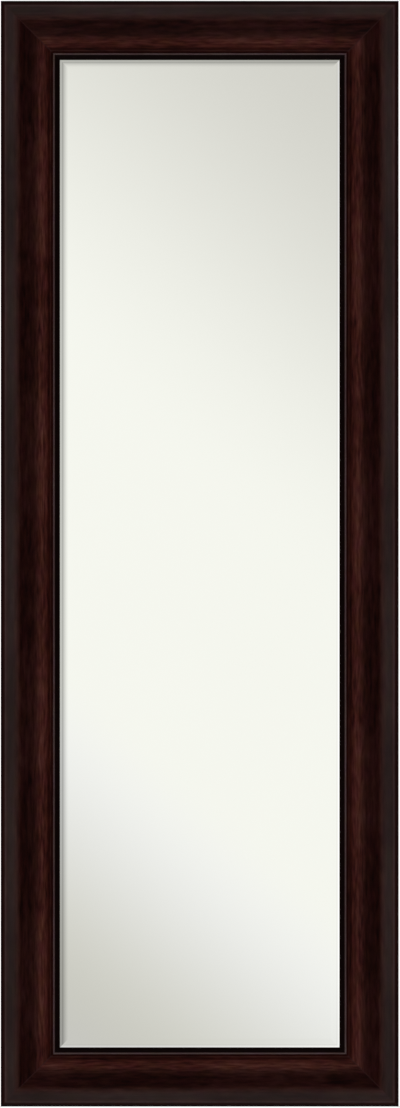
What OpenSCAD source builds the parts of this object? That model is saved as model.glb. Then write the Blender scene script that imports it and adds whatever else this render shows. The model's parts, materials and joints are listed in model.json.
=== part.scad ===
// Over the door mirror: a full length mirror in a wide, dark, scooped moulding, carried on the top edge
// of a door by two flat steel hangers that slide up and down behind the stiles.
// Millimetres. The mirror faces -Y and +Z is up. The origin is on the centre line at the door's top front
// edge: z = 0 is the top of the door, y = 0 its front face. Left is on the left of a viewer in front.

/* [Mirror glass] */
// Width of the glass sheet
glass_w = 355.6; // [250:0.1:600]
// Height of the glass sheet
glass_h = 1219.2; // [800:0.1:1600]
// Thickness of the glass
glass_t = 3; // [2:0.5:4]
// Width of the bevel ground on the front, from the edge of the glass
bevel_w = 12; // [8:0.5:25]
// How much thinner the bevel leaves the edge of the glass
bevel_drop = 0.9; // [0.2:0.1:1.5]
// Clearance between the glass and each side of its rabbet
glass_gap = 0.7; // [0.3:0.1:2]

/* [Moulding] */
// Width of the moulding, from the outer edge to the sight edge
rail_w = 71.5; // [62:0.5:95]
// Depth of the moulding, from its back to its flat band
rail_d = 28; // [26:0.5:40]
// Width of the rabbet that holds the glass
rabbet_w = 7.5; // [5:0.5:10]
// Depth of the rabbet, from the back of the moulding
rabbet_d = 10; // [9:0.5:11]
// Thickness of the lip over the glass at the sight edge
lip_t = 2; // [1.5:0.1:2.4]
// Radius of the round along the outer front edge
outer_r = 4.6; // [2:0.1:8]
// Height of the small step between that round and the flat band
band_step = 0.5; // [0.2:0.1:1]
// Distance from the outer edge to the end of the flat band
band_w = 20; // [12:0.5:26]
// Radius of the shoulder where the band turns down
shoulder_r = 5.5; // [2:0.5:8]
// Depth of the cove below the flat band
cove_depth = 13.2; // [10:0.1:13.5]
// Width of the low roll inside the cove
roll_w = 8.5; // [6:0.5:10]
// Fall of the low roll
roll_drop = 1.5; // [0.5:0.1:1.8]
// Width of the quirk between the roll and the inner bead
quirk_w = 2.6; // [1.5:0.1:4]
// Depth of the quirk below the end of the roll
quirk_drop = 0.6; // [0.2:0.1:0.8]
// Radius of the inner bead
bead_r = 1.4; // [1:0.1:1.8]
// Height of the bead's centre over the quirk
bead_rise = 1.4; // [0.8:0.1:2]
// Width of the slope from the bead down to the sight edge
slope_w = 5.6; // [4:0.1:8]
// Chamfer along the outer back edge
back_chamfer = 1; // [0.3:0.1:2]

/* [Backing] */
// Thickness of the filler card behind the glass
filler_t = 1.5; // [0.5:0.5:2.5]
// Thickness of the hardboard back
board_t = 2.5; // [2:0.5:3]
// Clearance between the backing sheets and each side of the rabbet
board_gap = 0.7; // [0.3:0.1:2]
// Number of retainer points along each stile
points_per_stile = 5; // [3:1:8]
// Number of retainer points along the top rail, and along the bottom rail
points_per_rail = 2; // [1:1:4]
// Width of a retainer point
point_w = 6; // [4:0.5:10]
// Thickness of a retainer point
point_t = 0.5; // [0.4:0.1:0.8]
// Length of a retainer point in the wood
point_bite = 6; // [4:0.5:10]
// Length of a retainer point over the board
point_reach = 9; // [6:0.5:14]

/* [Corner nails] */
// Depth of a corner nail in the wood
nail_l = 10; // [6:0.5:12]
// Thickness of a corner nail
nail_t = 0.8; // [0.5:0.1:1.2]
// Reach of each wing of a corner nail across the mitre
nail_wing = 4.5; // [3:0.5:6]
// Distance of the outer corner nail from each outer edge
nail_outer = 18; // [14:0.5:20]
// Distance of the inner corner nail from each outer edge
nail_inner = 42; // [30:0.5:46]

/* [Hanger straps] */
// Width of a strap
strap_w = 25; // [19:0.5:32]
// Thickness of the strap's steel
strap_t = 1.6; // [1.2:0.1:2]
// Thickest door that the hook takes
door_t = 45; // [35:0.5:60]
// Length of the tail behind the door, from the top of the door
tail_l = 38; // [25:1:60]
// Inner radius of the bends
bend_r = 2; // [1:0.1:2.5]
// Radius of the strap's corners at its two ends
corner_r = 4; // [2:0.5:6]
// How far the mirror can be lowered on its straps
travel = 150; // [50:1:250]
// Gap between a strap and the back of the stile
slide_gap = 0.2; // [0.1:0.1:0.5]
// Height of the frame above the bridge of the hook, which it hides
frame_cover = 1; // [0.5:0.5:10]
// Steel left below the slot
strap_end = 12; // [8:1:25]

/* [Pads] */
// Thickness of the felt pad between a strap and the front of the door
door_pad_t = 4; // [3.7:0.1:8]
// Length of that pad
door_pad_l = 60; // [30:1:80]
// Distance of that pad below the top of the door
door_pad_drop = 4; // [2:0.5:15]
// Thickness of the felt on the top of the door
top_pad_t = 1; // [0.5:0.1:2]
// Thickness of the felt behind the door
rear_pad_t = 2; // [1:0.5:5]
// Margin of a pad inside the edge of its strap
pad_margin = 1.5; // [0.5:0.5:4]
// Corner radius of the pads
pad_r = 2.5; // [1:0.5:4]

/* [Clamp screws] */
// Thread diameter of the clamp screws
screw_d = 5; // [4:0.5:6]
// Length of a clamp screw under its head
screw_l = 14; // [10:1:16]
// Diameter of a clamp screw's head
head_d = 11; // [9:0.5:13]
// Height of a clamp screw's head
head_h = 2.3; // [1.5:0.1:2.5]
// Width across the flats of the screw's hex socket
socket_w = 3; // [2:0.5:4]
// Depth of the hex socket
socket_deep = 1.5; // [1:0.1:1.8]
// Outer diameter of a washer
washer_d = 13; // [12:0.5:16]
// Thickness of a washer
washer_t = 1; // [0.6:0.1:1.2]
// Distance between the two screws of one hanger
screw_pitch = 45; // [30:1:80]
// Room between the door pad and the upper washer
screw_drop = 9; // [2:1:30]
// Outer diameter of a threaded insert
insert_d = 8.5; // [7.5:0.5:9.5]
// Length of a threaded insert
insert_l = 13; // [8:0.5:14]
// Diameter of the insert's flange
flange_d = 11; // [10:0.5:15]
// Thickness of the insert's flange
flange_t = 1.2; // [0.8:0.1:2]
// Clearance of a screw in the slot, on each side
slot_gap = 0.3; // [0.2:0.1:0.8]

/* [Bumpers] */
// Diameter of a rubber bumper at the frame
bumper_d = 22; // [16:0.5:30]
// Diameter of its face against the door
bumper_face_d = 18; // [14:0.5:24]
// Height of a bumper's centre over the bottom of the frame
bumper_rise = 84; // [80:1:200]
// Diameter of the bumper's screw
pin_d = 3.5; // [3:0.5:4]
// Length of that screw in the wood
pin_l = 12; // [8:1:13]
// Diameter of that screw's head
pin_head_d = 7; // [6:0.5:8]
// Height of that screw's head
pin_head_h = 2; // [1.5:0.1:2.5]

/* [Hidden] */

$fn = 48;
eps = 0.01;        // how far a cut runs past the face it opens
fit_gap = 0.05;    // clearance of nails, points and screws in their holes
LEFT = -1;
RIGHT = 1;

// The frame, round the glass
rabbet_half_w = glass_w / 2 + glass_gap;
rabbet_half_h = glass_h / 2 + glass_gap;
frame_w = 2 * (rabbet_half_w + rail_w - rabbet_w);
frame_h = 2 * (rabbet_half_h + rail_w - rabbet_w);
land_w = rail_w - rabbet_w;                 // flat width of the moulding's back

// Places across the moulding, from its outer edge, and heights from its back
bead_u = rail_w - slope_w - bead_r;
roll_u = bead_u - bead_r - quirk_w;
cove_u = roll_u - roll_w;
cove_h = rail_d - cove_depth;
scoop_run = cove_u - band_w;
scoop_a = 2 * atan(cove_depth / scoop_run);
cove_r = scoop_run / sin(scoop_a) - shoulder_r;
roll_a = 2 * atan(roll_drop / roll_w);
roll_r = roll_w / sin(roll_a);
quirk_h = cove_h - roll_drop - quirk_drop;
bead_h = quirk_h + bead_rise;

// Depths, along Y
standoff = slide_gap + strap_t + door_pad_t;    // back of the frame to the front of the door
back_y = -standoff;
glass_front_y = back_y - rabbet_d;
glass_back_y = glass_front_y + glass_t;
filler_back_y = glass_back_y + filler_t;
board_back_y = filler_back_y + board_t;
shank_back_y = -door_pad_t;
shank_front_y = shank_back_y - strap_t;
tail_front_y = door_t + rear_pad_t;
washer_y = shank_back_y + fit_gap;
head_y = washer_y + washer_t;
screw_deep = back_y - head_y + screw_l + fit_gap;   // how deep the screw's own hole goes in the wood

// Heights, along Z
bridge_z = top_pad_t;                            // underside of the bridge
frame_top_z = bridge_z + strap_t + frame_cover;
frame_mid_z = frame_top_z - frame_h / 2;
frame_bottom_z = frame_top_z - frame_h;
hanger_x = frame_w / 2 - land_w / 2;
upper_screw_z = -(door_pad_drop + door_pad_l + screw_drop + washer_d / 2);
screw_zs = [upper_screw_z, upper_screw_z - screw_pitch];
slot_low_z = screw_zs[1] - travel;
strap_low_z = slot_low_z - screw_d / 2 - slot_gap - strap_end;
bumper_z = frame_bottom_z + bumper_rise;

// Points on a round stretch, from angle a0 to angle a1
function arc(c, r, a0, a1, n = 8) =
    [for (i = [0:n]) let (a = a0 + (a1 - a0) * i / n) c + r * [cos(a), sin(a)]];

// The moulding's section: x from the outer edge to the sight edge, y from the back to the front
function moulding_section() = concat(
    [[land_w, 0], [back_chamfer, 0], [0, back_chamfer]],
    arc([outer_r, rail_d - band_step - outer_r], outer_r, 180, 90),
    [[outer_r, rail_d]],
    arc([band_w, rail_d - shoulder_r], shoulder_r, 90, 90 - scoop_a),
    arc([cove_u, cove_h + cove_r], cove_r, 270 - scoop_a, 270, 14),
    arc([cove_u, cove_h - roll_r], roll_r, 90, 90 - roll_a, 5),
    [[bead_u - bead_r, quirk_h]],
    arc([bead_u, bead_h], bead_r, 180, 60),
    [[rail_w, rabbet_d + lip_t], [rail_w, rabbet_d], [land_w, rabbet_d]]);

// Outline of a rectangle with round corners, centred
function rounded(w, h, r) = concat(
    arc([w / 2 - r, h / 2 - r], r, 0, 90), arc([r - w / 2, h / 2 - r], r, 90, 180),
    arc([r - w / 2, r - h / 2], r, 180, 270), arc([w / 2 - r, r - h / 2], r, 270, 360));

// Lays a flat shape in the plane of the mirror, its thickness running forwards from y
module plate(y, thickness) {
    translate([0, y, 0]) rotate([90, 0, 0]) linear_extrude(thickness) children();
}

// Puts something made along +Z along +Y, pointing at the door
module to_door() {
    rotate([-90, 0, 0]) children();
}

// Puts something made at the left stile's outer edge on another side: 90 is the top, -90 the bottom
module on_side(angle, half_extent) {
    translate([0, 0, frame_mid_z]) rotate([0, angle, 0]) translate([-half_extent, 0, 0]) children();
}

// One mitred length of moulding, its outer edge on x = 0 and its length along z
module moulding(length) {
    translate([0, back_y, 0]) rotate([180, 0, 0]) intersection() {
        translate([0, 0, -length / 2]) linear_extrude(length) polygon(moulding_section());
        plate(rail_d + 1, rail_d + 2) polygon([[0, -length / 2], [rail_w, rail_w - length / 2],
            [rail_w, length / 2 - rail_w], [0, length / 2]]);
    }
}

// A length of moulding with everything that is cut into it
module rail(angle, half_extent, length) {
    color([0.13, 0.07, 0.055]) difference() {
        on_side(angle, half_extent) moulding(length);
        all_points(fit_gap);
        all_nails(fit_gap);
        for (side = [LEFT, RIGHT]) {
            at_clamps(side) insert_hole();
            at_bumper(side) pin_hole();
        }
    }
}

module top_rail() {
    rail(90, frame_h / 2, frame_w);
}

module bottom_rail() {
    rail(-90, frame_h / 2, frame_w);
}

module left_stile() {
    rail(0, frame_w / 2, frame_h);
}

module right_stile() {
    rail(180, frame_w / 2, frame_h);
}

// Section through the glass, its front at y = 0, its back at y = glass_t
module glass_section(width) {
    polygon([[-width / 2, bevel_drop], [bevel_w - width / 2, 0], [width / 2 - bevel_w, 0],
        [width / 2, bevel_drop], [width / 2, glass_t], [-width / 2, glass_t]]);
}

module mirror_glass() {
    color([0.85, 0.87, 0.88]) translate([0, glass_front_y, frame_mid_z]) intersection() {
        translate([0, 0, -glass_h / 2]) linear_extrude(glass_h) glass_section(glass_w);
        rotate([0, 90, 0]) translate([0, 0, -glass_w / 2]) linear_extrude(glass_w) glass_section(glass_h);
    }
}

// A sheet that fills the rabbet, from y forwards
module backing_sheet(y, thickness) {
    translate([0, 0, frame_mid_z]) plate(y, thickness)
        square(2 * [rabbet_half_w - board_gap, rabbet_half_h - board_gap], center = true);
}

module filler_card() {
    color([0.62, 0.5, 0.36]) backing_sheet(filler_back_y, filler_t);
}

module backing_board() {
    color([0.38, 0.25, 0.15]) backing_sheet(board_back_y, board_t);
}

// A retainer point on the rabbet's wall at x = 0, its tip in the wood
module retainer_point(gap) {
    half = point_w / 2 + gap;
    plate(board_back_y + point_t + gap, point_t + 2 * gap) polygon([[-point_bite - gap, 0],
        [-point_bite + half, half], [point_reach + gap, half], [point_reach + gap, -half],
        [-point_bite + half, -half]]);
}

// The points of one side, evenly spaced along it
module side_points(angle, half_extent, length, count, gap) {
    on_side(angle, half_extent) for (i = [1:count])
        translate([0, 0, length * ((i - 0.5) / count - 0.5)]) retainer_point(gap);
}

module all_points(gap) {
    for (angle = [0, 180]) side_points(angle, rabbet_half_w, 2 * rabbet_half_h, points_per_stile, gap);
    for (angle = [90, -90]) side_points(angle, rabbet_half_h, 2 * rabbet_half_w, points_per_rail, gap);
}

module retainer_points() {
    color([0.7, 0.71, 0.72]) all_points(0);
}

// A corner nail: a chevron whose wings cross the mitre, driven in from the back
module corner_nail(gap) {
    wing = nail_wing + gap;
    plate(back_y + gap, nail_l + 2 * gap) polygon([[nail_t / 2 + gap, 0], [nail_t / 2 + gap - wing, wing],
        [-nail_t / 2 - gap - wing, wing], [-nail_t / 2 - gap, 0], [-nail_t / 2 - gap - wing, -wing],
        [nail_t / 2 + gap - wing, -wing]]);
}

// Two nails on the mitre of each corner
module all_nails(gap) {
    for (side = [LEFT, RIGHT], end = [-1, 1], edge = [nail_outer, nail_inner])
        translate([side * (frame_w / 2 - edge), 0, frame_mid_z + end * (frame_h / 2 - edge)])
            rotate([0, -atan2(-end, -side), 0]) corner_nail(gap);
}

module corner_nails() {
    color([0.66, 0.67, 0.69]) all_nails(0);
}

// The clamp places of one hanger, on the back of its stile
module at_clamps(side) {
    for (z = screw_zs) translate([side * hanger_x, 0, z]) children();
}

// The stepped hole for an insert and the end of its screw
module insert_hole() {
    translate([0, back_y, 0]) to_door() {
        translate([0, 0, -insert_l]) cylinder(d = insert_d, h = insert_l + eps);
        translate([0, 0, -flange_t]) cylinder(d = flange_d, h = flange_t + eps);
        translate([0, 0, -screw_deep]) cylinder(d = screw_d + 2 * fit_gap, h = screw_deep);
    }
}

// A flanged brass insert, flush with the back of the stile
module insert() {
    translate([0, back_y, 0]) to_door() difference() {
        union() {
            translate([0, 0, -insert_l]) cylinder(d = insert_d, h = insert_l);
            translate([0, 0, -flange_t]) cylinder(d = flange_d, h = flange_t);
        }
        translate([0, 0, -insert_l - eps]) cylinder(d = screw_d + 2 * fit_gap, h = insert_l + 2 * eps);
    }
}

module clamp_inserts() {
    color([0.78, 0.62, 0.3]) for (side = [LEFT, RIGHT]) at_clamps(side) insert();
}

module clamp_washers() {
    color([0.7, 0.71, 0.72]) for (side = [LEFT, RIGHT]) at_clamps(side)
        translate([0, washer_y, 0]) to_door() difference() {
            cylinder(d = washer_d, h = washer_t);
            translate([0, 0, -eps]) cylinder(d = screw_d + 2 * slot_gap, h = washer_t + 2 * eps);
        }
}

// A low domed screw head, its flat side on z = 0
module dome(d, h) {
    r = (d * d / 4 + h * h) / (2 * h);
    intersection() {
        translate([0, 0, h - r]) sphere(r);
        translate([-d, -d, 0]) cube([2 * d, 2 * d, 2 * h]);
    }
}

module clamp_screw() {
    translate([0, head_y, 0]) to_door() difference() {
        union() {
            dome(head_d, head_h);
            translate([0, 0, -screw_l]) cylinder(d = screw_d, h = screw_l + head_h / 2);
        }
        translate([0, 0, head_h - socket_deep])
            cylinder(d = socket_w / cos(30), h = 2 * socket_deep, $fn = 6);
    }
}

module clamp_screws() {
    color([0.7, 0.71, 0.72]) for (side = [LEFT, RIGHT]) at_clamps(side) clamp_screw();
}

// The bumper's place, on the back of the stile near its foot
module at_bumper(side) {
    translate([side * hanger_x, back_y, bumper_z]) to_door() children();
}

// The hole for a bumper's screw
module pin_hole() {
    translate([0, 0, -pin_l - fit_gap]) cylinder(d = pin_d + 2 * fit_gap, h = pin_l + 2 * fit_gap);
}

// A rubber bumper whose face touches the door, with a sunk seat for its screw
module bumper(side) {
    color([0.09, 0.09, 0.09]) at_bumper(side) difference() {
        cylinder(d1 = bumper_d, d2 = bumper_face_d, h = standoff);
        translate([0, 0, -eps]) cylinder(d = pin_d + 2 * fit_gap, h = standoff + 2 * eps);
        translate([0, 0, standoff / 2]) cylinder(d = pin_head_d + 1, h = standoff);
    }
}

module left_bumper() {
    bumper(LEFT);
}

module right_bumper() {
    bumper(RIGHT);
}

// A cross-slotted pan head screw through each bumper
module bumper_screws() {
    color([0.7, 0.71, 0.72]) for (side = [LEFT, RIGHT]) at_bumper(side) difference() {
        union() {
            translate([0, 0, standoff / 2]) dome(pin_head_d, pin_head_h);
            translate([0, 0, -pin_l]) cylinder(d = pin_d, h = pin_l + (standoff + pin_head_h) / 2);
        }
        for (turn = [0, 90]) rotate([0, 0, turn]) translate([0, 0, standoff / 2 + pin_head_h])
            cube([pin_head_d / 2, pin_head_h / 3, pin_head_h], center = true);
    }
}

// Side view of a strap as drawn in the y-z plane: shank, bridge over the door, tail
function strap_outline() = concat(
    [[shank_back_y, strap_low_z]],
    arc([shank_back_y + bend_r, bridge_z - bend_r], bend_r, 180, 90),
    arc([tail_front_y - bend_r, bridge_z - bend_r], bend_r, 90, 0),
    [[tail_front_y, -tail_l], [tail_front_y + strap_t, -tail_l]],
    arc([tail_front_y - bend_r, bridge_z - bend_r], bend_r + strap_t, 0, 90),
    arc([shank_back_y + bend_r, bridge_z - bend_r], bend_r + strap_t, 90, 180),
    [[shank_front_y, strap_low_z]]);

// Everything outside a strip with round corners at its lower end, which ends at z = low
module end_trim(y, low) {
    corner = 2 * corner_r;
    plate(y, 4 * strap_t) difference() {
        translate([-strap_w, low - corner]) square([2 * strap_w, corner + corner_r]);
        translate([0, low + strap_w]) polygon(rounded(strap_w, 2 * strap_w, corner_r));
    }
}

module hanger_strap(side) {
    color([0.06, 0.06, 0.065]) translate([side * hanger_x, 0, 0]) difference() {
        rotate([90, 0, 90]) translate([0, 0, -strap_w / 2]) linear_extrude(strap_w) polygon(strap_outline());
        end_trim(shank_back_y + strap_t, strap_low_z);
        end_trim(tail_front_y + 2 * strap_t, -tail_l);
        // the slot that the clamp screws pass through
        plate(shank_back_y + strap_t, 3 * strap_t) {
            for (z = [screw_zs[0], slot_low_z]) translate([0, z]) circle(d = screw_d + 2 * slot_gap);
            translate([-screw_d / 2 - slot_gap, slot_low_z])
                square([screw_d + 2 * slot_gap, screw_zs[0] - slot_low_z]);
        }
    }
}

module left_hanger_strap() {
    hanger_strap(LEFT);
}

module right_hanger_strap() {
    hanger_strap(RIGHT);
}

// Felt between the bridge and the top of the door
module top_pad(side) {
    length = door_t - 2 * pad_margin;
    color([0.2, 0.2, 0.21]) translate([side * hanger_x, door_t / 2, 0]) linear_extrude(top_pad_t)
        polygon(rounded(strap_w - 2 * pad_margin, length, pad_r));
}

// Felt between the shank and the front of the door
module door_pad(side) {
    color([0.2, 0.2, 0.21]) translate([side * hanger_x, 0, -door_pad_drop - door_pad_l / 2])
        plate(0, door_pad_t) polygon(rounded(strap_w - 2 * pad_margin, door_pad_l, pad_r));
}

// Felt between the tail and the back of the door
module rear_pad(side) {
    top = door_pad_drop;
    length = tail_l - top - corner_r;
    color([0.2, 0.2, 0.21]) translate([side * hanger_x, 0, -top - length / 2])
        plate(tail_front_y, rear_pad_t) polygon(rounded(strap_w - 2 * pad_margin, length, pad_r));
}

module left_top_pad() {
    top_pad(LEFT);
}

module left_door_pad() {
    door_pad(LEFT);
}

module left_rear_pad() {
    rear_pad(LEFT);
}

module right_top_pad() {
    top_pad(RIGHT);
}

module right_door_pad() {
    door_pad(RIGHT);
}

module right_rear_pad() {
    rear_pad(RIGHT);
}

top_rail();
bottom_rail();
left_stile();
right_stile();
mirror_glass();
filler_card();
backing_board();
retainer_points();
corner_nails();
clamp_inserts();
clamp_washers();
clamp_screws();
left_bumper();
right_bumper();
bumper_screws();
left_hanger_strap();
left_top_pad();
left_door_pad();
left_rear_pad();
right_hanger_strap();
right_top_pad();
right_door_pad();
right_rear_pad();
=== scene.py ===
"""The over the door mirror's looks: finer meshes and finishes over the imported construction.

Metres, in the part's own frame: the mirror faces -Y, +Z is up, and the origin is at the door's top front
edge on the centre line. Across a moulding is measured from its outer edge, and height from its back.
"""

import json
import math

import bmesh
import bpy
from bpy.props import FloatProperty, FloatVectorProperty, IntProperty, PointerProperty
from mathutils import Matrix, Vector


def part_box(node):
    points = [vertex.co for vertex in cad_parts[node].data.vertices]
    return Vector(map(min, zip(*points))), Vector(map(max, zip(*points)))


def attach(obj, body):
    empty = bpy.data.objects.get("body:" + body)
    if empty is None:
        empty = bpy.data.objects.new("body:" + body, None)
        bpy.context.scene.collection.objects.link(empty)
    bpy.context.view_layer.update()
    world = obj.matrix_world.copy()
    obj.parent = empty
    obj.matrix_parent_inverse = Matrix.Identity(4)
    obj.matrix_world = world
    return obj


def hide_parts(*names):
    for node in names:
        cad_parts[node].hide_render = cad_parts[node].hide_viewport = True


bl_info = {
    "name": "Over the Door Mirror",
    "version": (1, 0, 0),
    "blender": (4, 5, 0),
    "location": "View3D > Sidebar > Door Mirror",
    "description": "Builds the finish, the glass, the back and the hangers of an over the door mirror",
    "category": "Object",
}

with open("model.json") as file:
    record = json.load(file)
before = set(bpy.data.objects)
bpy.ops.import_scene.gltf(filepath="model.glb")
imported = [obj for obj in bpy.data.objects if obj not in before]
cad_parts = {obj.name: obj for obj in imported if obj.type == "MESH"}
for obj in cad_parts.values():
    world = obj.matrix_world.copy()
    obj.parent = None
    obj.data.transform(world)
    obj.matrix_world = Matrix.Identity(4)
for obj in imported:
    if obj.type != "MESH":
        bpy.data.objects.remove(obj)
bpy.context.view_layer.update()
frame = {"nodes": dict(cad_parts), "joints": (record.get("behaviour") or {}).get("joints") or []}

# The photograph's size and the frame's outer edges in it, in pixels from its top left corner
PHOTO_W, PHOTO_H = 400, 1108
FRAME_LEFT_PX, FRAME_RIGHT_PX = 1.14, 398.27
FRAME_TOP_PX, FRAME_BOTTOM_PX = 1.04, 1106.37

# Places that the construction already holds
TOP_LOW, TOP_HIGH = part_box("top_rail")
FOOT_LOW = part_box("bottom_rail")[0]
GLASS_LOW, GLASS_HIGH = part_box("mirror_glass")
STRAP_LOW, STRAP_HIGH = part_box("right_hanger_strap")
DOOR_PAD_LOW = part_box("right_door_pad")[0]
TOP_PAD_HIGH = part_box("right_top_pad")[1]
REAR_PAD_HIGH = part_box("right_rear_pad")[1]
WASHER_LOW, WASHER_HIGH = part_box("clamp_washers")
SCREW_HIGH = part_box("clamp_screws")[1]
INSERT_LOW, INSERT_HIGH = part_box("clamp_inserts")
BUMPER_LOW, BUMPER_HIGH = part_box("right_bumper")
PIN_LOW, PIN_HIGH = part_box("bumper_screws")

FRAME_W = TOP_HIGH.x - TOP_LOW.x
FRAME_H = TOP_HIGH.z - FOOT_LOW.z
RAIL_W = TOP_HIGH.z - TOP_LOW.z
RAIL_D = TOP_HIGH.y - TOP_LOW.y
BACK_Y = TOP_HIGH.y
CENTRE = Vector(((TOP_LOW.x + TOP_HIGH.x) / 2, 0, (FOOT_LOW.z + TOP_HIGH.z) / 2))
HANGER_X = (STRAP_LOW.x + STRAP_HIGH.x) / 2
WASHER_D = WASHER_HIGH.x - WASHER_LOW.x - 2 * HANGER_X
SCREW_ZS = (WASHER_HIGH.z - WASHER_D / 2, WASHER_LOW.z + WASHER_D / 2)
FLANGE_R = (INSERT_HIGH.x - INSERT_LOW.x) / 2 - HANGER_X
INSERT_DEEP = BACK_Y - INSERT_LOW.y
BUMPER_Z = (BUMPER_LOW.z + BUMPER_HIGH.z) / 2
TRAVEL = frame["joints"][0]["range_m"][1]
SIDES = {"left": -1, "right": 1}

# Each length of moulding: its turn about the glass in degrees, and the middle of a paler stretch of its
# stain, measured along it from its own middle
RAILS = {"left_stile": (0, -0.121), "top_rail": (90, -0.076), "right_stile": (180, 0.035),
         "bottom_rail": (-90, 0.085)}

STAIN, BARE = 0, 1    # material places on a length of moulding
RECESS = 1            # the material place of a socket or slot in a screw
WORN_AND_HIGHLIT = 1              # the material place of a strap's edges
APART = 31            # whole stretches of stain from one length's place in the grain to the next one's
NEAR = 0.000001       # what lies nearer than this is in one place
PROUD = 0.001         # how far a cutter stands out of what it cuts
CLEAR = 0.00005       # the gap round a screw in its hole
WHITE = (1, 1, 1, 1)

# The soft windows of the stage: name, place from the mirror's middle, width and height, watts
WINDOWS = (("front window", (0, -3.3, 0), (2.6, 2.6), 44),
           ("back window", (0, 3.6, 0.4), (2.6, 2.6), 52),
           ("side window", (-2.6, -1.9, 0.2), (0.9, 2.0), 13),
           ("side window", (2.6, -1.9, 0.2), (0.9, 2.0), 13))


def metres(name, description, default, low=0):
    """A length that a user would change, and the least that it may be."""
    return FloatProperty(name=name, description=description, default=default, min=low, unit="LENGTH")


def slant(name, description, degrees):
    """An angle that a user would change."""
    return FloatProperty(name=name, description=description, default=math.radians(degrees), min=0,
                         subtype="ANGLE")


def paint(name, description, default):
    """A colour that a user would change."""
    return FloatVectorProperty(name=name, description=description, default=default, subtype="COLOR",
                               min=0, max=1)


class MouldingSettings(bpy.types.PropertyGroup):
    """Sizes across the moulding."""

    outer_radius: metres("Outer round", "Radius of the outer front edge", 0.0046, 0.001)
    band_step: metres("Band step", "Height of the step up to the flat band", 0.0005)
    band_width: metres("Band", "Outer edge to the end of the flat band", 0.020, 0.005)
    shoulder_radius: metres("Shoulder", "Radius where the band turns down", 0.0055, 0.001)
    cove_depth: metres("Cove depth", "Depth of the cove below the band", 0.0132, 0.001)
    roll_width: metres("Roll", "Width of the low roll inside the cove", 0.0085, 0.001)
    roll_drop: metres("Roll fall", "Fall of the low roll", 0.0015, 0.0001)
    quirk_width: metres("Quirk", "Width of the quirk beside the bead", 0.0026, 0.0005)
    quirk_drop: metres("Quirk depth", "Depth of the quirk under the roll's end", 0.0006)
    bead_radius: metres("Bead", "Radius of the inner bead", 0.0014, 0.0005)
    bead_rise: metres("Bead rise", "Height of the bead's centre over the quirk", 0.0014)
    slope_width: metres("Slope", "Bead to sight edge", 0.0056, 0.001)
    lip: metres("Lip", "Thickness of the lip at the sight edge", 0.002, 0.0005)
    rabbet_width: metres("Rabbet width", "Width of the rabbet", 0.0075, 0.002)
    rabbet_depth: metres("Rabbet depth", "Depth of the rabbet from the back", 0.010, 0.002)
    coat: metres("Coat", "What the coat adds to the outer and the sight edge", 0.0002)
    back_chamfer: metres("Back chamfer", "Chamfer of the outer back edge", 0.001)
    mitre_ease: metres("Mitre ease", "How much the mitred edges are rubbed down", 0.0003)


class GlassSettings(bpy.types.PropertyGroup):
    """The ground edge of the mirror."""

    bevel_width: metres("Bevel", "Width of the flat part of the bevel", 0.0096, 0.001)
    bevel_angle: slant("Bevel angle", "Slope of the bevel", 4.5)
    crease_width: metres("Crease", "Width of the steeper line at the bevel's end", 0.0010)
    crease_angle: slant("Crease angle", "Slope of that line", 5.2)
    blend_width: metres("Blend", "Width over which the bevel dies into the face", 0.0076, 0.001)
    blend_angle: slant("Blend angle", "Slope where the blend begins", 3.9)
    blend_steps: IntProperty(name="Blend steps", description="Rings in the blend", default=8, min=2)


class HangerSettings(bpy.types.PropertyGroup):
    """Sizes of the hangers and what clamps them."""

    bend_radius: metres("Bend", "Inner radius of the strap's bends", 0.002, 0.0005)
    corner_radius: metres("Corners", "Radius of the strap's corners", 0.004, 0.0005)
    tail_length: metres("Tail", "Length of the tail below the door's top", 0.038, 0.01)
    slot_width: metres("Slot", "Width of the slot", 0.0056, 0.003)
    edge_ease: metres("Edge", "Rounding of the strap's sheared edges", 0.00025)
    screw_diameter: metres("Clamp screw", "Thread diameter of a clamp screw", 0.005, 0.002)
    screw_length: metres("Clamp screw length", "Length under the head", 0.014, 0.005)
    head_diameter: metres("Head", "Diameter of a clamp screw's head", 0.011, 0.004)
    socket_width: metres("Socket", "Width across the flats of the hex socket", 0.003, 0.001)
    socket_depth: metres("Socket depth", "Depth of the hex socket", 0.0015, 0.0005)
    insert_diameter: metres("Insert", "Diameter of a threaded insert", 0.0085, 0.005)
    flange_thickness: metres("Flange", "Thickness of the insert's flange", 0.0012, 0.0005)
    pad_radius: metres("Pad corners", "Corner radius of a felt pad", 0.0025, 0.0005)
    pin_diameter: metres("Bumper screw", "Diameter of a bumper's screw", 0.0035, 0.001)
    bumper_face: metres("Bumper face", "Diameter of the bumper's face", 0.018, 0.005)
    seat_diameter: metres("Bumper seat", "Diameter of the sunk screw seat", 0.008, 0.004)


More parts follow.
